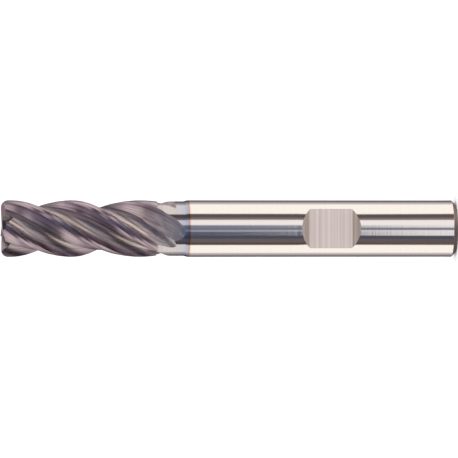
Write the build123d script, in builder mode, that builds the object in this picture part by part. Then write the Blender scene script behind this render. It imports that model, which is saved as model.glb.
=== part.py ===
from build123d import *
from build123d.topology import SkipClean

import os
from math import ceil, cos, pi, radians, sin, sqrt, tan

# Four-flute corner-radius end mill, ground from one solid carbide bar.
# Millimetres and degrees. The tool's axis is Z: the shank's end face lies on z = 0 and the cutting
# end points up. Azimuths turn from +X towards +Y. The tool cuts right-handed: every cutting edge
# faces the way azimuths grow, and its land trails behind it.

# Blank
overall_length = 64.5
shank_diameter = 8.0
shank_end_chamfer = 0.6
reach = 26.3  # from the tip to where the full shank begins
neck_diameter = 7.7
neck_cone_length = 0.5
cutting_diameter = 8.0
cutting_length = 22.0
corner_radius = 1.0

# Side-lock flat in the shank, facing -Y
flat_across = 6.9  # from the flat to the far side of the shank
flat_centre_height = 18.0
flat_length = 5.95
flat_wall_angle = 47.5  # each end wall, away from square to the axis
flat_root_radius = 0.4
clamped_margin = 0.6  # of full round shank past the flat, in the length that the holder clamps

# Teeth: two opposite pairs, each with its own helix, so that no two neighbours share a pitch
fast_helix_angle = 37.5
slow_helix_angle = 34.5
fast_tip_azimuth = -70.5  # where one cutting edge of the pair meets the tip
slow_tip_azimuth = 13.1

# Gullet: a round groove down to the core, with the rake face as its leading side
core_diameter = 4.8
gullet_radius = 1.76
gullet_azimuth = 25.0  # the groove's middle, ahead of the cutting edge
gullet_length = 17.5  # from the tip to where the grinding wheel starts to lift out
gullet_runout_radius = 17.0
gullet_lift_azimuth = 54.0  # the way the wheel lifts, ahead of the cutting edge

# Land behind each edge: a thin round margin, two relief facets and the flat back of the tooth.
# A facet's tilt is the angle by which its normal trails the edge.
margin_angle = 2.6
first_facet_tilt = 14.5
first_facet_end = 9.5
second_facet_tilt = 29.0
second_facet_end = 17.0
back_tilt = 54.0
back_end = 64.0
back_length = 21.8  # from the tip to where the back starts to run out
back_runout_radius = 5.5

# Scoop that opens each flute ahead of a fast-helix tooth into the neck. Its flat floor rises from
# its deepest place, ever more steeply, out through the neck.
scoop_floor_radius = 2.85  # from the tool's axis to the floor, where it is deepest
scoop_distance = 21.0  # from the tip to the deepest place
scoop_rise_angle = 7.8  # of the floor, where it is deepest
scoop_exit_radius = 40.0
scoop_azimuth = 42.5  # the floor's middle at the deepest place, ahead of the cutting edge there
scoop_lead = 85.0  # length in which the floor would turn once about the axis
scoop_entry_radius = 6.5
scoop_near_width = 1.5  # from the floor's middle to the side by the cutting edge
scoop_far_width = 3.0
scoop_wall_angle = 35.0  # by which the near side leans outwards

# End teeth
end_relief_angle = 8.0
end_dish_angle = 2.0
gash_start_radius = 0.35
gash_slope = 17.0  # of the gash's root, below square to the axis
gash_floor_rise = 3.0  # of the gash's floor, away from the end edge
gash_root_radius = 0.12
pocket_start_radius = 0.4  # of the pocket that the gash deepens into, towards the gullet
pocket_offset = 0.8  # of the pocket's root, ahead of the end edge
pocket_slope = 40.0  # of its root, below square to the axis
pocket_side_angle = 37.5  # of both sides, away from square to the axis

# Room around the blank that the cuts take in, and the step between the sections of a helical cut
cut_clearance = 0.6
edge_overrun = 10.0  # angle by which the land cut runs on past the edge, outside the blank
section_step = 1.5

shank_radius = shank_diameter / 2
neck_radius = neck_diameter / 2
cutting_radius = cutting_diameter / 2
core_radius = core_diameter / 2
head_base = overall_length - cutting_length
shank_top = overall_length - reach
flat_floor = flat_across - shank_radius
flat_wall_length = (shank_radius - flat_floor) * tan(radians(flat_wall_angle))
clamped_length = flat_centre_height + flat_length / 2 + flat_wall_length + clamped_margin
stock_radius = max(shank_radius, cutting_radius) + cut_clearance
cut_top = overall_length + cut_clearance


def polar(radius, angle):
    """Point at a radius and an angle in a plane square to the axis."""
    return (radius * cos(radians(angle)), radius * sin(radians(angle)))


def lead_of(helix_angle):
    """Length along the axis in which a helix turns once."""
    return pi * cutting_diameter / tan(radians(helix_angle))


def edge_azimuth(height, helix_angle):
    """Azimuth of a cutting edge at a height, for an edge that meets the tip at azimuth 0."""
    return -360 * (overall_length - height) / lead_of(helix_angle)


def cross_plane(height, azimuth, shift=(0, 0)):
    """Plane square to the axis with x at an azimuth, and its origin shifted along its own axes."""
    level = Plane(origin=(0, 0, height), x_dir=(*polar(1, azimuth), 0), z_dir=(0, 0, 1))
    return Plane(origin=level.from_local_coords((*shift, 0)), x_dir=level.x_dir, z_dir=level.z_dir)


def lift_past(overrun, runout_radius):
    """Lift of a wheel that has run some length past its full depth and leaves on a circle."""
    return runout_radius - sqrt(runout_radius**2 - max(overrun, 0) ** 2)


def runout_length(lift, runout_radius):
    """Length along the axis in which a wheel that leaves on a circle lifts that far."""
    return sqrt(runout_radius**2 - (runout_radius - lift) ** 2)


def section_heights(bottom, top):
    """Evenly spaced heights for the sections that a helical cut is lofted through."""
    count = ceil((top - bottom) / section_step)
    return [bottom + (top - bottom) * i / count for i in range(count + 1)]


def gullet_cut(helix_angle):
    """Material that one gullet removes, for a tooth whose edge meets the tip at azimuth 0."""
    full_depth_end = overall_length - gullet_length
    bottom = full_depth_end - runout_length(stock_radius - core_radius, gullet_runout_radius)
    groove = polar(core_radius + gullet_radius, gullet_azimuth)
    with BuildPart() as gullet:
        for height in section_heights(bottom, cut_top):
            azimuth = edge_azimuth(height, helix_angle)
            lift = polar(lift_past(full_depth_end - height, gullet_runout_radius), gullet_lift_azimuth)
            middle = cross_plane(height, azimuth, (groove[0] + lift[0], groove[1] + lift[1])).origin
            outward = (*polar(1, azimuth + gullet_azimuth), 0)
            with BuildSketch(Plane(origin=middle, x_dir=outward, z_dir=(0, 0, 1))):
                with BuildLine():
                    ThreePointArc((0, gullet_radius), (-gullet_radius, 0), (0, -gullet_radius))
                    Polyline(
                        (0, -gullet_radius),
                        (gullet_radius, -gullet_radius),
                        (gullet_radius, gullet_radius),
                        (0, gullet_radius),
                    )
                make_face()
        loft()
    return gullet.part


def land_outline():
    """Corners of the land cut in a tooth's own plane, from past the edge and round the outside."""
    first_distance = cutting_radius * cos(radians(first_facet_tilt - margin_angle))
    edge_side = polar(first_distance / cos(radians(first_facet_tilt + edge_overrun)), edge_overrun)
    first_radius = first_distance / cos(radians(first_facet_tilt - first_facet_end))
    second_distance = first_radius * cos(radians(second_facet_tilt - first_facet_end))
    second_radius = second_distance / cos(radians(second_facet_tilt - second_facet_end))
    back_distance = second_radius * cos(radians(back_tilt - second_facet_end))
    back_radius = back_distance / cos(radians(back_end - back_tilt))
    half_span = (edge_overrun + back_end) / 2
    return [
        edge_side,
        polar(first_radius, -first_facet_end),
        polar(second_radius, -second_facet_end),
        polar(back_radius, -back_end),
        polar(stock_radius, -back_end),
        polar(stock_radius / cos(radians(half_span)), edge_overrun - half_span),
        polar(stock_radius, edge_overrun),
    ]


def land_cut(helix_angle):
    """Material that the relief and the back of one tooth remove, for an edge at azimuth 0."""
    full_depth_end = overall_length - back_length
    bottom = full_depth_end - runout_length(stock_radius - core_radius, back_runout_radius)
    with BuildPart() as land:
        for height in section_heights(bottom, cut_top):
            lift = polar(lift_past(full_depth_end - height, back_runout_radius), -back_tilt)
            with BuildSketch(cross_plane(height, edge_azimuth(height, helix_angle), lift)):
                Polygon(*land_outline(), align=None)
        loft()
    return land.part


def end_relief_cut(pitch_behind):
    """Material above the end face of one tooth, back to the tooth behind, for an edge along +X."""
    corner = (cutting_radius - corner_radius, 0, overall_length)
    outward = Vector(1, 0, 0).rotate(Axis.Y, -end_dish_angle)
    forward = Vector(0, 1, 0).rotate(Axis.X, end_relief_angle)
    end_face = Plane(origin=corner, x_dir=outward, z_dir=outward.cross(forward))
    rim = stock_radius / cos(radians(pitch_behind / 4))
    with BuildPart() as relief:
        with BuildSketch(Plane.XY.offset(overall_length - cutting_radius)):
            Polygon(
                (0, 0),
                polar(rim, -pitch_behind),
                polar(rim, -pitch_behind / 2),
                polar(rim, 0),
                align=None,
            )
        extrude(amount=cutting_radius + cut_clearance)
        split(bisect_by=end_face, keep=Keep.TOP)
    return relief.part


# Blank above the clamped length: shank, cone, neck, and the cutting head with its corner radius
with BuildPart() as blank:
    with BuildSketch(Plane.XZ):
        with BuildLine():
            Polyline(
                (cutting_radius - corner_radius, overall_length),
                (0, overall_length),
                (0, clamped_length),
                (shank_radius, clamped_length),
                (shank_radius, shank_top),
                (neck_radius, shank_top + neck_cone_length),
                (neck_radius, head_base),
                (cutting_radius, head_base),
                (cutting_radius, overall_length - corner_radius),
            )
            RadiusArc(
                (cutting_radius, overall_length - corner_radius),
                (cutting_radius - corner_radius, overall_length),
                -corner_radius,
            )
        make_face()
    revolve(axis=Axis.Z)

# Clamped length of the shank, with the end chamfer and the side-lock flat: a flat floor across the
# shank with two sloping end walls
with BuildPart() as clamped_end:
    with BuildSketch(Plane.XY):
        Circle(shank_radius)
    extrude(amount=clamped_length)
    chamfer(clamped_end.edges().sort_by(Axis.Z)[0], length=shank_end_chamfer)
    with BuildSketch(Plane.YZ) as flat_outline:
        mouth = shank_radius + cut_clearance
        half_floor = flat_length / 2
        half_mouth = half_floor + (mouth - flat_floor) * tan(radians(flat_wall_angle))
        Polygon(
            (-mouth, flat_centre_height - half_mouth),
            (-flat_floor, flat_centre_height - half_floor),
            (-flat_floor, flat_centre_height + half_floor),
            (-mouth, flat_centre_height + half_mouth),
            align=None,
        )
        fillet(flat_outline.vertices().sort_by(Axis.X)[-2:], radius=flat_root_radius)
    extrude(amount=mouth, both=True, mode=Mode.SUBTRACT)

# Scoop: a flat floor that turns slowly about the axis, with a round entry and a long way out
with BuildPart() as scoop:
    deepest = overall_length - scoop_distance
    deepest_azimuth = edge_azimuth(deepest, fast_helix_angle) + scoop_azimuth
    depth = stock_radius - scoop_floor_radius
    wall_lean = depth * tan(radians(scoop_wall_angle))
    bottom = deepest - runout_length(depth, scoop_exit_radius)
    for height in section_heights(bottom, deepest + runout_length(depth, scoop_entry_radius)):
        above = height - deepest
        rise = max(-above, 0) * tan(radians(scoop_rise_angle))
        lift = lift_past(above, scoop_entry_radius) + lift_past(-above, scoop_exit_radius) + rise
        azimuth = deepest_azimuth + 360 * above / scoop_lead
        with BuildSketch(cross_plane(height, azimuth, (scoop_floor_radius + lift, 0))):
            Polygon(
                (0, -scoop_near_width),
                (0, scoop_far_width),
                (depth, scoop_far_width),
                (depth, -scoop_near_width - wall_lean),
                align=None,
            )
    loft()

# Gash: a notch ahead of an end edge that lies along +X, sloping down from the middle of the tool,
# and a steeper pocket with two sloping sides that opens it into the gullet
with BuildPart() as gash:
    start_drop = (cutting_radius - corner_radius - gash_start_radius) * tan(radians(end_dish_angle))
    start = (gash_start_radius, 0, overall_length - start_drop)
    downhill = Vector(1, 0, 0).rotate(Axis.Y, gash_slope)
    with BuildSketch(Plane(origin=start, x_dir=(0, 1, 0), z_dir=downhill)) as notch:
        Polygon(
            (0, 0),
            (cutting_diameter, cutting_diameter * tan(radians(gash_floor_rise))),
            (cutting_diameter, cutting_diameter),
            (0, cutting_diameter),
            align=None,
        )
        fillet(notch.vertices().sort_by_distance(start)[0], radius=gash_root_radius)
    extrude(amount=cutting_diameter)
    pocket_start = (pocket_start_radius, pocket_offset, overall_length)
    pocket_downhill = Vector(1, 0, 0).rotate(Axis.Y, pocket_slope)
    with BuildSketch(Plane(origin=pocket_start, x_dir=(0, 1, 0), z_dir=pocket_downhill)):
        side_rise = tan(radians(pocket_side_angle))
        Polygon(
            (0, 0),
            (cutting_radius, cutting_radius * side_rise),
            (-pocket_offset, cutting_radius * side_rise),
            (-pocket_offset, pocket_offset * side_rise),
            align=None,
        )
    extrude(amount=cutting_diameter)

# Tool: every cut is taken from the blank, for both teeth of each pair. The clamped end joins it last
# and its round face isn't merged with the one above, so the middle of each is clear of the flat.
slow_pitch_behind = slow_tip_azimuth - fast_tip_azimuth
tooth_pairs = (
    (fast_tip_azimuth, fast_helix_angle, 180 - slow_pitch_behind),
    (slow_tip_azimuth, slow_helix_angle, slow_pitch_behind),
)
with BuildPart() as endmill:
    add(blank.part)
    for tip_azimuth, helix_angle, pitch_behind in tooth_pairs:
        with PolarLocations(0, 2, start_angle=tip_azimuth):
            add(gullet_cut(helix_angle), mode=Mode.SUBTRACT)
            add(land_cut(helix_angle), mode=Mode.SUBTRACT)
            add(end_relief_cut(pitch_behind), mode=Mode.SUBTRACT)
            add(gash.part, mode=Mode.SUBTRACT)
    with PolarLocations(0, 2, start_angle=fast_tip_azimuth):
        add(scoop.part, mode=Mode.SUBTRACT)
    with SkipClean():
        add(clamped_end.part, clean=False)

endmill.part.label = "endmill"
os.makedirs("parts", exist_ok=True)
export_step(endmill.part, "parts/endmill.step")
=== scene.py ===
"""Looks of the end mill: its ground and coated surfaces, the studio and the camera.

The tool stands on its shank's end face with its cutting end up (+Z). The camera lies on its
side, so the tool shows level with its cutting end to the left. The zones of the finish and its
grinding lines are in millimetres, in the tool's own frame. The studio is in metres.
"""

from __future__ import annotations

import logging
from dataclasses import dataclass, field
from enum import Enum
from math import cos, pi, radians, sin

import bpy
from mathutils import Matrix, Vector


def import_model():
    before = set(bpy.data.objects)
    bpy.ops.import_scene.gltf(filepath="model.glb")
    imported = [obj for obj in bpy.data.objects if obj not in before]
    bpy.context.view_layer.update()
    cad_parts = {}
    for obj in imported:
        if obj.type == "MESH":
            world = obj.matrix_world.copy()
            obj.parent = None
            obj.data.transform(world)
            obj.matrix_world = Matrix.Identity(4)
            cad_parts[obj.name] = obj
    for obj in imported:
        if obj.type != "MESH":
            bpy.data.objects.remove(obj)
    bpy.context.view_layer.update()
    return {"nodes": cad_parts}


LOG = logging.getLogger("endmill")

MM = 0.001

Colour = tuple[float, float, float]
Span = tuple[float, float]
Socket = bpy.types.NodeSocket


class Mix(Enum):
    """How two colours are put together."""

    BLEND = "MIX"
    OVERLAY = "OVERLAY"


class Graph:
    """A node tree and the short calls that fill it."""

    def __init__(self, tree: bpy.types.NodeTree) -> None:
        """Empties the tree.

        Args:
            tree: the node tree of a material, a world or a node group.
        """
        self.tree = tree
        tree.nodes.clear()

    def node(self, kind: str, **settings: object) -> bpy.types.Node:
        """Adds a node and sets its properties.

        Args:
            kind: the node's type name, without its ShaderNode prefix.
            settings: properties of the node, such as operation.

        Returns:
            The new node.
        """
        made = self.tree.nodes.new(kind if kind.startswith("NodeGroup") else "ShaderNode" + kind)
        for name, value in settings.items():
            setattr(made, name, value)
        return made

    def feed(self, socket: Socket, value: object) -> None:
        """Links a socket, or sets its constant.

        Args:
            socket: the input to feed.
            value: another node's output, a number, a vector or a colour.
        """
        if isinstance(value, bpy.types.NodeSocket):
            self.tree.links.new(value, socket)
        elif isinstance(value, tuple) and socket.type == "RGBA":
            socket.default_value = (*value, 1.0)
        else:
            socket.default_value = value

    def math(self, operation: str, *values: object, clamp: bool = False) -> Socket:
        """Adds a math node.

        Args:
            operation: the node's operation, such as ADD.
            values: outputs or numbers for its inputs.
            clamp: whether the result is kept between 0 and 1.

        Returns:
            The result's output.
        """
        made = self.node("Math", operation=operation, use_clamp=clamp)
        for socket, value in zip(made.inputs, values):
            self.feed(socket, value)
        return made.outputs[0]

    def vector(self, operation: str, first: object, second: object = None) -> Socket:
        """Adds a vector math node.

        Args:
            operation: the node's operation, such as MULTIPLY.
            first: the first vector or its output.
            second: the second vector or its output, or None where there is only one.

        Returns:
            The resulting vector's output.
        """
        made = self.node("VectorMath", operation=operation)
        self.feed(made.inputs[0], first)
        if second is not None:
            self.feed(made.inputs[1], second)
        return made.outputs[0]

    def split(self, vector: Socket) -> tuple[Socket, Socket, Socket]:
        """Splits a vector.

        Args:
            vector: the vector.

        Returns:
            Its three parts.
        """
        made = self.node("SeparateXYZ")
        self.feed(made.inputs[0], vector)
        return made.outputs["X"], made.outputs["Y"], made.outputs["Z"]

    def ramp(self, factor: object, stops: list[tuple[float, Colour]]) -> Socket:
        """Adds a colour ramp.

        Args:
            factor: what runs along the ramp, from 0 to 1.
            stops: places and their colours, in order.

        Returns:
            The ramp's colour output.
        """
        made = self.node("ValToRGB")
        self.feed(made.inputs["Fac"], factor)
        elements = made.color_ramp.elements
        while len(elements) < len(stops):
            elements.new(1.0)
        for element, (place, colour) in zip(elements, stops):
            element.position = place
            element.color = (*colour, 1.0)
        return made.outputs["Color"]

    def smooth(self, value: object, low: float, high: float) -> Socket:
        """Adds a soft step from 0 at low to 1 at high.

        Args:
            value: what is stepped.
            low: where the step leaves 0; it may be above high.
            high: where the step reaches 1.

        Returns:
            The step's output.
        """
        made = self.node("MapRange", interpolation_type="SMOOTHSTEP")
        self.feed(made.inputs["Value"], value)
        made.inputs["From Min"].default_value = min(low, high)
        made.inputs["From Max"].default_value = max(low, high)
        if low > high:
            made.inputs["To Min"].default_value = 1.0
            made.inputs["To Max"].default_value = 0.0
        return made.outputs["Result"]

    def mixed(self, kind: str, settings: dict[str, str], factor: object, *values: object) -> Socket:
        """Adds a mix node.

        Args:
            kind: the type of the sockets that are mixed.
            settings: properties of the node.
            factor: the share of the second value.
            values: the first and the second value, or their outputs.

        Returns:
            The result's output.
        """
        made = self.node("Mix", **settings)
        self.feed(made.inputs["Factor"], factor)
        inputs = [one for one in made.inputs if one.type == kind and "Factor" not in one.name]
        for socket, value in zip(inputs, values):
            self.feed(socket, value)
        return next(one for one in made.outputs if one.type == kind)

    def mix(self, factor: object, first: object, second: object, how: Mix = Mix.BLEND) -> Socket:
        """Adds a mix of two colours.

        Args:
            factor: the share of the second colour.
            first: a colour or an output.
            second: a colour or an output.
            how: the way they are put together.

        Returns:
            The mixed colour's output.
        """
        settings = {"data_type": "RGBA", "blend_type": how.value}
        return self.mixed("RGBA", settings, factor, first, second)

    def blend(self, factor: object, first: object, second: object) -> Socket:
        """Adds a blend of two numbers.

        Args:
            factor: the share of the second number.
            first: a number or an output.
            second: a number or an output.

        Returns:
            The blended number's output.
        """
        return self.mixed("VALUE", {"data_type": "FLOAT"}, factor, first, second)

    def between(self, factor: Socket, first: Socket, second: Socket) -> Socket:
        """Adds a blend of two vectors.

        Args:
            factor: the share of the second vector.
            first: the first vector.
            second: the second vector.

        Returns:
            The blended vector's output.
        """
        return self.mixed("VECTOR", {"data_type": "VECTOR"}, factor, first, second)

    def grey(self, value: Socket) -> Socket:
        """Turns a number into a grey.

        Args:
            value: the number.

        Returns:
            The grey's output.
        """
        made = self.node("CombineColor")
        for socket in made.inputs:
            self.feed(socket, value)
        return made.outputs["Color"]


@dataclass(frozen=True)
class GrindingLines:
    """Fine lines that a grinding wheel leaves: noise drawn out along the third axis."""

    name: str = "grinding_lines"
    shortness: float = 0.03
    contrast: Span = (0.25, 0.75)
    detail: float = 3.0
    roughness: float = 0.6
    coarse_spacing: float = 0.42
    fine_spacing: float = 0.12

    def group(self) -> bpy.types.NodeTree:
        """Makes the node group that draws the lines.

        Returns:
            The group, with the inputs Vector and Spacing and the output Lines.
        """
        group = bpy.data.node_groups.new(self.name, "ShaderNodeTree")
        group.interface.new_socket("Vector", in_out="INPUT", socket_type="NodeSocketVector")
        group.interface.new_socket("Spacing", in_out="INPUT", socket_type="NodeSocketFloat")
        group.interface.new_socket("Lines", in_out="OUTPUT", socket_type="NodeSocketFloat")
        graph = Graph(group)
        given = graph.node("NodeGroupInput")
        across = graph.math("DIVIDE", 1.0, given.outputs["Spacing"])
        squeeze = graph.node("CombineXYZ")
        graph.feed(squeeze.inputs["X"], across)
        graph.feed(squeeze.inputs["Y"], across)
        graph.feed(squeeze.inputs["Z"], graph.math("MULTIPLY", across, self.shortness))
        noise = graph.node("TexNoise")
        place = graph.vector("MULTIPLY", given.outputs["Vector"], squeeze.outputs[0])
        graph.feed(noise.inputs["Vector"], place)
        noise.inputs["Scale"].default_value = 1.0  # the spacing is in the squeeze
        noise.inputs["Detail"].default_value = self.detail
        noise.inputs["Roughness"].default_value = self.roughness
        output = graph.node("NodeGroupOutput")
        graph.feed(output.inputs["Lines"], graph.smooth(noise.outputs["Fac"], *self.contrast))
        return group

    def draw(self, graph: Graph, along: Socket) -> tuple[Socket, Socket]:
        """Draws the lines in a material.

        Args:
            graph: the material's nodes.
            along: the point in millimetres, with the lines along its third axis.

        Returns:
            The coarse and the fine lines.
        """
        group = self.group()
        drawn = []
        for spacing in (self.coarse_spacing, self.fine_spacing):
            used = graph.node("Group", node_tree=group)
            graph.feed(used.inputs["Vector"], along)
            used.inputs["Spacing"].default_value = spacing
            drawn.append(used.outputs["Lines"])
        return drawn[0], drawn[1]


@dataclass(frozen=True)
class Coating:
    """The hard violet-grey coating on the cutting end and the neck.

    The fringe is the row of thin tints at its edge: heights above the edge and their colours.
    The gullets turn duller between two depths, under the lands and above the core. Deeper in,
    painted light turns their colour lighter and greyer.
    """

    edge_height: float = 37.9
    bare_gap: float = 0.15  # below the edge, where the bare colour ends
    fringe: tuple[tuple[float, Colour], ...] = (
        (0.0, (0.90, 0.72, 0.55)),
        (0.14, (0.50, 0.28, 0.29)),
        (0.35, (0.42, 0.47, 0.60)),
        (1.2, (0.53, 0.555, 0.63)),
    )
    neck_rise: float = 2.4  # above the edge, where the neck's own colour starts
    neck_colour: Colour = (0.60, 0.565, 0.58)
    flute_colour: Colour = (0.405, 0.33, 0.385)
    # painted light: the gullets' floor is painted lighter and greyer than the lands, to brighten
    # its reflection
    gullet_painted_light: Colour = (0.50, 0.44, 0.45)
    head_height: float = 42.5
    head_blend: Span = (-0.8, 1.0)  # from the head's height, neck colour to flute colour
    ramp_margins: Span = (0.4, 2.0)  # of the colour ramp, below the edge and above the head
    painted_light_depth: float = 0.4  # under the lands, where the gullets' colour starts
    dull_depth: float = 0.1  # under the lands
    dull_floor: float = 0.4  # above the core
    land_roughness: float = 0.24
    gullet_roughness: float = 0.3
    lines_roughness: float = 0.06
    neck_roughness: float = 0.10
    scoop_roughness: float = 0.46
    scoop_span: Span = (45.0, 43.5)  # heights over which the scoops' roughness sets in
    line_strength: float = 0.4
    line_depth: float = 0.003


@dataclass(frozen=True)
class BareCarbide:
    """The bright ground carbide of the shank."""

    colour: Colour = (0.86, 0.84, 0.83)
    flat_colour: Colour = (0.63, 0.545, 0.515)
    # painted shade: the flat's end walls are painted darker than its floor, where shade falls
    wall_painted_shade: Colour = (0.38, 0.31, 0.28)
    chamfer_colour: Colour = (0.30, 0.24, 0.23)
    roughness: float = 0.09
    flat_roughness: float = 0.5
    flat_metallic: float = 0.3
    line_strength: float = 0.05
    flat_line_strength: float = 0.3
    line_depth: float = 0.0006


@dataclass(frozen=True)
class Zones:
    """Where each finish lies on the tool, as outputs of the material's nodes.

    Attributes:
        place: the point in millimetres.
        height: millimetres above the shank's end.
        radius: millimetres from the axis.
        coated: the coated end.
        neck: the neck's round.
        helical: what is ground along the helix.
        flat: the side-lock flat and its end walls.
        wall: the end walls alone.
        chamfer: the end chamfer.
    """

    place: Socket
    height: Socket
    radius: Socket
    coated: Socket
    neck: Socket
    helical: Socket
    flat: Socket
    wall: Socket
    chamfer: Socket


@dataclass
class EndMill:
    """The tool itself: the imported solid, dressed in one material with its zones."""

    node_name: str = "endmill"
    material_name: str = "carbide"
    lead: float = 34.6
    shank_radius: float = 4.0
    neck_radius: float = 3.85
    core_radius: float = 2.4
    chamfer: float = 0.6
    chamfer_softness: float = 0.05
    zone_softness: float = 0.1
    neck_margins: Span = (0.06, 0.02)  # under the neck's round
    end_face_slope: Span = (0.75, 0.92)  # of the normal's climb, sides to end faces
    flat_span: Span = (13.7, 22.3)
    flat_margins: Span = (0.016, 0.024)  # under the shank's round
    flat_depth: float = 2.9  # from the axis to the flat's floor
    wall_margins: Span = (0.03, 0.12)  # out from the floor, where its end walls start
    fine_strength: float = 0.12
    fine_depth: float = 0.3
    grinding: GrindingLines = field(default_factory=GrindingLines)
    coating: Coating = field(default_factory=Coating)
    bare: BareCarbide = field(default_factory=BareCarbide)

    def dress(self, nodes: dict[str, bpy.types.Object]) -> None:
        """Puts the material on the tool.

        Args:
            nodes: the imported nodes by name.
        """
        tool = nodes[self.node_name]
        material = self.material()
        tool.data.materials.clear()
        tool.data.materials.append(material)
        LOG.info("dressed %s in %s", tool.name, material.name)

    def material(self) -> bpy.types.Material:
        """The tool's finish, from the shank's end to the tip.

        Returns:
            The new material.
        """
        made = bpy.data.materials.new(self.material_name)
        made.use_nodes = True
        graph = Graph(made.node_tree)
        zones = self.zones(graph)
        coarse, fine = self.grinding.draw(graph, self.along(graph, zones))
        metallic = graph.blend(zones.flat, 1.0, self.bare.flat_metallic)
        surface = graph.node("BsdfPrincipled")
        graph.feed(surface.inputs["Base Color"], self.colour(graph, zones, coarse, fine))
        graph.feed(surface.inputs["Metallic"], metallic)
        graph.feed(surface.inputs["Roughness"], self.roughness(graph, zones, coarse))
        graph.feed(surface.inputs["Normal"], self.normal(graph, zones, coarse, fine))
        output = graph.node("OutputMaterial")
        graph.feed(output.inputs["Surface"], surface.outputs["BSDF"])
        return made

    def zones(self, graph: Graph) -> Zones:
        """Finds the zones from the point's place and the surface's slope.

        Args:
            graph: the material's nodes.

        Returns:
            The zones.
        """
        scale = graph.node("VectorMath", operation="SCALE")
        graph.feed(scale.inputs[0], graph.node("TexCoord").outputs["Object"])
        graph.feed(scale.inputs["Scale"], 1 / MM)
        across, depth, height = graph.split(scale.outputs[0])
        squares = [graph.math("POWER", one, 2.0) for one in (across, depth)]
        radius = graph.math("SQRT", graph.math("ADD", *squares))
        coated = self.above(graph, height, self.coating.edge_height)
        head = self.above(graph, height, self.coating.head_height)
        below_head = graph.math("SUBTRACT", 1.0, head)
        on_neck = graph.smooth(radius, *(self.neck_radius - margin for margin in self.neck_margins))
        neck = graph.math("MULTIPLY", on_neck, below_head)
        upward = graph.split(graph.node("NewGeometry").outputs["Normal"])[2]
        end_face = graph.smooth(upward, *self.end_face_slope)
        swept = graph.math("SUBTRACT", 1.0, graph.math("MAXIMUM", neck, end_face))
        return Zones(
            place=scale.outputs[0],
            height=height,
            radius=radius,
            coated=coated,
            neck=neck,
            helical=graph.math("MULTIPLY", coated, swept),
            flat=self.flat_zone(graph, height, radius),
            wall=graph.smooth(depth, *(-self.flat_depth - margin for margin in self.wall_margins)),
            chamfer=graph.smooth(height, self.chamfer, self.chamfer - self.chamfer_softness),
        )

    def above(self, graph: Graph, height: Socket, level: float) -> Socket:
        """Marks what lies above a level, with a soft border.

        Args:
            graph: the material's nodes.
            height: millimetres above the shank's end.
            level: the level in millimetres.

        Returns:
            The mask.
        """
        return graph.smooth(height, level - self.zone_softness, level + self.zone_softness)

    def flat_zone(self, graph: Graph, height: Socket, radius: Socket) -> Socket:
        """Marks the side-lock flat and its end walls, which lie inside the shank's round.

        Args:
            graph: the material's nodes.
            height: millimetres above the shank's end.
            radius: millimetres from the axis.

        Returns:
            The mask.
        """
        low, high = self.flat_span
        past_low = graph.smooth(height, low - self.zone_softness, low)
        before_high = graph.smooth(height, high + self.zone_softness, high)
        inside = graph.smooth(radius, *(self.shank_radius - margin for margin in self.flat_margins))
        return graph.math("MULTIPLY", graph.math("MULTIPLY", past_low, before_high), inside)

    def along(self, graph: Graph, zones: Zones) -> Socket:
        """The way of the grinding lines: along the helix, and round the axis on shank and neck.

        Args:
            graph: the material's nodes.
            zones: the zones.

        Returns:
            The point, turned back by the helix where that is the way of the lines.
        """
        untwist = graph.node("VectorRotate", rotation_type="Z_AXIS")
        graph.feed(untwist.inputs["Vector"], zones.place)
        angle = graph.math("MULTIPLY", zones.height, -2 * pi / self.lead)
        graph.feed(untwist.inputs["Angle"], angle)
        rings = graph.node("CombineXYZ")
        graph.feed(rings.inputs["X"], zones.height)
        return graph.between(zones.helical, rings.outputs[0], untwist.outputs[0])

    def colour(self, graph: Graph, zones: Zones, coarse: Socket, fine: Socket) -> Socket:
        """Colour of the metal: violet flutes with painted light in the gullets, pale neck, a fringe
        of tints, then bare carbide with painted shade on the flat's end walls.

        Args:
            graph: the material's nodes.
            zones: the zones.
            coarse: the coarse grinding lines.
            fine: the fine grinding lines.

        Returns:
            The colour's output.
        """
        coating, bare = self.coating, self.bare
        outer = self.shank_radius - coating.painted_light_depth
        depth = graph.smooth(zones.radius, outer, self.core_radius)
        gullet = graph.math("MULTIPLY", depth, zones.helical)
        # painted light: deeper in the gullets the colour turns lighter and greyer, to brighten
        # their reflection
        painted_gullets = graph.mix(gullet, self.tint(graph, zones.height), coating.gullet_painted_light)
        # painted shade: the flat's end walls get a darker colour than its floor
        on_flat = graph.mix(zones.wall, bare.flat_colour, bare.wall_painted_shade)
        strength = graph.blend(zones.helical, bare.line_strength, coating.line_strength)
        strength = graph.blend(zones.flat, strength, bare.flat_line_strength)
        plain = graph.mix(zones.flat, painted_gullets, on_flat)
        drawn = graph.mix(strength, plain, graph.grey(coarse), Mix.OVERLAY)
        ground = graph.mix(self.fine_strength, drawn, graph.grey(fine), Mix.OVERLAY)
        return graph.mix(zones.chamfer, ground, bare.chamfer_colour)

    def tint(self, graph: Graph, height: Socket) -> Socket:
        """Colour along the tool, from bare carbide through the fringe and the neck to the flutes.

        Args:
            graph: the material's nodes.
            height: millimetres above the shank's end.

        Returns:
            The colour's output.
        """
        coating = self.coating
        edge, head = coating.edge_height, coating.head_height
        neck_end, head_start = (head + offset for offset in coating.head_blend)
        low, high = edge - coating.ramp_margins[0], head + coating.ramp_margins[1]
        tints = [
            (edge - coating.bare_gap, self.bare.colour),
            *((edge + rise, colour) for rise, colour in coating.fringe),
            (edge + coating.neck_rise, coating.neck_colour),
            (neck_end, coating.neck_colour),
            (head_start, coating.flute_colour),
        ]
        scaled = graph.math("DIVIDE", graph.math("SUBTRACT", height, low), high - low, clamp=True)
        return graph.ramp(scaled, [((at - low) / (high - low), colour) for at, colour in tints])

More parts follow.
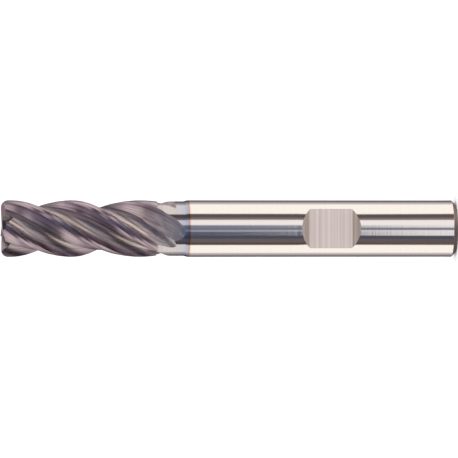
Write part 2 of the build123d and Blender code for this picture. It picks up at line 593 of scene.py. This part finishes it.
    def roughness(self, graph: Graph, zones: Zones, coarse: Socket) -> Socket:
        """Roughness: polished shank and neck, satin lands, duller gullets and a matte flat.

        Args:
            graph: the material's nodes.
            zones: the zones.
            coarse: the coarse grinding lines.

        Returns:
            The roughness output.
        """
        coating, bare = self.coating, self.bare
        outer, inner = self.shank_radius - coating.dull_depth, self.core_radius + coating.dull_floor
        gullet = graph.smooth(zones.radius, outer, inner)
        flutes = graph.blend(gullet, coating.land_roughness, coating.gullet_roughness)
        lines = graph.math("MULTIPLY", coarse, coating.lines_roughness)
        flutes = graph.math("ADD", flutes, lines)
        scoop = graph.smooth(zones.height, *coating.scoop_span)
        flutes = graph.blend(scoop, flutes, coating.scoop_roughness)
        coated = graph.blend(zones.neck, flutes, coating.neck_roughness)
        ground = graph.blend(zones.coated, bare.roughness, coated)
        matte = graph.math("MAXIMUM", zones.flat, zones.chamfer)
        return graph.blend(matte, ground, bare.flat_roughness)

    def normal(self, graph: Graph, zones: Zones, coarse: Socket, fine: Socket) -> Socket:
        """The normal, with the lines' relief and a smooth polished blend from the cone to the neck.

        Args:
            graph: the material's nodes.
            zones: the zones.
            coarse: the coarse grinding lines.
            fine: the fine grinding lines.

        Returns:
            The normal's output.
        """
        outward = graph.vector("MULTIPLY", zones.place, (1.0, 1.0, 0.0))
        radial = graph.vector("NORMALIZE", outward)
        on_neck = graph.math("MULTIPLY", zones.neck, zones.coated)
        smooth = graph.between(on_neck, graph.node("NewGeometry").outputs["Normal"], radial)
        depth = graph.blend(zones.helical, self.bare.line_depth, self.coating.line_depth)
        bump = graph.node("Bump")
        bump.inputs["Strength"].default_value = 1.0
        graph.feed(bump.inputs["Distance"], graph.math("MULTIPLY", depth, MM))
        relief = graph.math("MULTIPLY_ADD", fine, self.fine_depth, coarse)
        graph.feed(bump.inputs["Height"], relief)
        graph.feed(bump.inputs["Normal"], smooth)
        return bump.outputs["Normal"]


@dataclass(frozen=True)
class Band:
    """One strip of the studio's surroundings, seen in the tool's polish, in degrees of azimuth."""

    start: float
    end: float
    colour: Colour


# The outer strips on either side, which the level row and the base row share.
LEFT_RIM = (
    Band(-180, -149, (0.02, 0.015, 0.02)),
    Band(-149, -132, (0.34, 0.30, 0.32)),
    Band(-132, -118, (0.62, 0.56, 0.56)),
    Band(-118, -71, (1.12, 1.05, 0.97)),
)
RIGHT_RIM = (
    Band(36, 46, (0.22, 0.18, 0.17)),
    Band(46, 63, (0.12, 0.09, 0.09)),
    Band(63, 118, (1.12, 1.05, 0.97)),
    Band(118, 132, (0.62, 0.56, 0.56)),
    Band(132, 149, (0.34, 0.30, 0.32)),
    Band(149, 180, (0.02, 0.015, 0.02)),
)


@dataclass(frozen=True)
class Lamp:
    """A soft square lamp: its place and side in metres and its power in watts."""

    name: str
    place: tuple[float, float, float]
    size: float
    power: float


@dataclass
class Studio:
    """Pale floor, soft light, the surroundings that the metal mirrors, and the camera.

    The surroundings are rows of bands, one above the other. A row's span is the climb over which
    it takes over from its neighbour, from -1 straight down to 1 straight up. The base row is the
    one that the shank's end mirrors.
    """

    floor_radius: float = 500 * MM
    floor_sides: int = 96
    floor_colour: Colour = (0.93, 0.93, 0.93)
    floor_roughness: float = 0.9
    camera_tilt: float = 4.4  # degrees
    lens: float = 400.0  # millimetres, as is the sensor
    sensor: float = 36.0
    clip_shares: Span = (0.05, 10.0)  # of the camera's distance
    frame_width: float = 64.85 * MM
    target: tuple[float, float, float] = (-0.057 * MM, 0.0, 32.22 * MM)
    overhead: Lamp = Lamp("overhead", (0.0, 0.0, 0.6), 0.5, 1.5)
    level_bands: tuple[Band, ...] = (
        *LEFT_RIM,
        Band(-71, -60, (0.09, 0.06, 0.06)),
        Band(-60, -42, (0.15, 0.12, 0.12)),
        Band(-42, -12, (0.07, 0.08, 0.12)),
        Band(-12, -5, (0.34, 0.37, 0.44)),
        Band(-5, 14, (0.17, 0.19, 0.25)),
        Band(14, 36, (1.0, 0.93, 0.92)),
        *RIGHT_RIM,
    )
    base_bands: tuple[Band, ...] = (
        *LEFT_RIM,
        Band(-71, -42, (0.13, 0.10, 0.10)),
        Band(-42, -29, (0.07, 0.08, 0.12)),
        Band(-29, -6, (1.0, 0.93, 0.92)),
        Band(-6, 4, (0.20, 0.22, 0.28)),
        Band(4, 36, (1.0, 0.93, 0.92)),
        *RIGHT_RIM,
    )
    upper_bands: tuple[Band, ...] = (
        Band(-180, -140, (0.50, 0.40, 0.40)),
        Band(-140, -118, (0.42, 0.37, 0.38)),
        Band(-118, -74, (0.84, 0.76, 0.72)),
        Band(-74, 100, (0.20, 0.17, 0.22)),
        Band(100, 132, (0.62, 0.55, 0.56)),
        Band(132, 180, (0.50, 0.40, 0.40)),
    )
    lower_bands: tuple[Band, ...] = (
        Band(-180, -125, (0.14, 0.12, 0.14)),
        Band(-125, -78, (0.95, 0.86, 0.82)),
        Band(-78, -12, (0.05, 0.04, 0.05)),
        Band(-12, 60, (0.46, 0.43, 0.45)),
        Band(60, 130, (1.60, 1.48, 1.28)),
        Band(130, 180, (0.30, 0.26, 0.27)),
    )
    base_span: Span = (-0.098, -0.108)
    upper_span: Span = (0.20, 0.60)
    lower_span: Span = (-0.15, -0.40)
    glow_colour: Colour = (0.52, 0.42, 0.42)
    glow_depth: Span = (0.70, 0.90)
    glow_climb: Span = (0.02, 0.10)
    zenith_colour: Colour = (0.05, 0.04, 0.045)
    zenith_climb: Span = (0.74, 0.82)
    band_softness: float = 4.0
    soft_band_softness: float = 14.0
    white_strength: float = 1.15

    def build(self) -> None:
        """Makes the floor, the surroundings, the lamp and the camera."""
        self.floor()
        self.surroundings()
        self.hang(self.overhead)
        self.camera()

    def floor(self) -> None:
        """A round pale floor that the tool stands on."""
        bpy.ops.object.select_all(action="DESELECT")
        bpy.ops.mesh.primitive_circle_add(
            vertices=self.floor_sides, radius=self.floor_radius, fill_type="NGON"
        )
        floor = bpy.context.active_object
        floor.name = "floor"
        floor.visible_glossy = False
        made = bpy.data.materials.new("pale_floor")
        made.use_nodes = True
        graph = Graph(made.node_tree)
        surface = graph.node("BsdfPrincipled")
        graph.feed(surface.inputs["Base Color"], self.floor_colour)
        graph.feed(surface.inputs["Roughness"], self.floor_roughness)
        graph.feed(graph.node("OutputMaterial").inputs["Surface"], surface.outputs["BSDF"])
        floor.data.materials.append(made)
        LOG.info("made %s", floor.name)

    def surroundings(self) -> None:
        """White behind the tool, and upright strips of light and dark for the metal to mirror."""
        world = bpy.data.worlds.new("studio")
        bpy.context.scene.world = world
        world.use_nodes = True
        graph = Graph(world.node_tree)
        mirrored = graph.node("Background")
        graph.feed(mirrored.inputs["Color"], self.rows(graph))
        white = graph.node("Background")
        graph.feed(white.inputs["Color"], (1.0, 1.0, 1.0))
        graph.feed(white.inputs["Strength"], self.white_strength)
        shader = graph.node("MixShader")
        graph.feed(shader.inputs["Fac"], graph.node("LightPath").outputs["Is Glossy Ray"])
        graph.feed(shader.inputs[1], white.outputs["Background"])
        graph.feed(shader.inputs[2], mirrored.outputs["Background"])
        graph.feed(graph.node("OutputWorld").inputs["Surface"], shader.outputs["Shader"])
        LOG.info("made %s", world.name)

    def rows(self, graph: Graph) -> Socket:
        """Stacks the rows of bands, with a glow behind the tool and a dark zenith.

        Args:
            graph: the world's nodes.

        Returns:
            The colour in each direction.
        """
        across, depth, climb = graph.split(graph.node("TexCoord").outputs["Generated"])
        azimuth = graph.math("ARCTAN2", across, graph.math("MULTIPLY", depth, -1.0))
        around = graph.math("MULTIPLY_ADD", azimuth, 1 / (2 * pi), 0.5)
        colour = self.row(graph, around, self.level_bands, self.band_softness)
        for bands, softness, span in (
            (self.base_bands, self.band_softness, self.base_span),
            (self.upper_bands, self.soft_band_softness, self.upper_span),
            (self.lower_bands, self.soft_band_softness, self.lower_span),
        ):
            row = self.row(graph, around, bands, softness)
            colour = graph.mix(graph.smooth(climb, *span), colour, row)
        behind = graph.smooth(depth, *self.glow_depth)
        glow = graph.math("MULTIPLY", behind, graph.smooth(climb, *self.glow_climb))
        colour = graph.mix(glow, colour, self.glow_colour)
        return graph.mix(graph.smooth(climb, *self.zenith_climb), colour, self.zenith_colour)

    @staticmethod
    def row(graph: Graph, around: Socket, bands: tuple[Band, ...], softness: float) -> Socket:
        """Draws one row of bands, once round the tool.

        Args:
            graph: the world's nodes.
            around: the azimuth, from 0 to 1.
            bands: the row, in order of azimuth.
            softness: degrees over which two neighbours blend.

        Returns:
            The row's colour.
        """
        half = softness / 2
        stops = [
            ((degrees + 180) / 360, band.colour)
            for band in bands
            for degrees in (band.start + half, band.end - half)
        ]
        return graph.ramp(around, stops)

    def hang(self, lamp: Lamp) -> None:
        """Hangs a lamp that faces the tool and doesn't show in its polish.

        Args:
            lamp: the lamp.
        """
        data = bpy.data.lights.new(lamp.name, "AREA")
        data.shape = "SQUARE"
        data.size = lamp.size
        data.energy = lamp.power
        hung = bpy.data.objects.new(lamp.name, data)
        bpy.context.scene.collection.objects.link(hung)
        hung.visible_glossy = False
        hung.location = lamp.place
        away = Vector(lamp.place) - Vector(self.target)
        hung.rotation_euler = away.to_track_quat("Z", "Y").to_euler()
        LOG.info("hung %s", hung.name)

    def camera(self) -> None:
        """The photograph's view: from the flat's side, a little from the tip, lying on its side."""
        tilt = radians(self.camera_tilt)
        right = Vector((0.0, -sin(tilt), -cos(tilt)))
        up = Vector((1.0, 0.0, 0.0))
        back = Vector((0.0, -cos(tilt), sin(tilt)))
        distance = self.frame_width * self.lens / self.sensor
        data = bpy.data.cameras.new("camera")
        data.lens = self.lens
        data.sensor_width = self.sensor
        data.clip_start, data.clip_end = (distance * share for share in self.clip_shares)
        camera = bpy.data.objects.new("camera", data)
        bpy.context.scene.collection.objects.link(camera)
        turn = Matrix((right, up, back)).transposed().to_4x4()
        camera.matrix_world = Matrix.Translation(Vector(self.target) + back * distance) @ turn
        bpy.context.scene.camera = camera
        LOG.info("placed the camera %.3f m away", distance)


def main() -> None:
    """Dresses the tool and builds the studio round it."""
    logging.basicConfig(level=logging.INFO, format="%(name)s: %(message)s")
    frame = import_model()
    EndMill().dress(frame["nodes"])
    Studio().build()
    bpy.context.scene.view_settings.view_transform = "Standard"


if __name__ == "__main__":
    main()
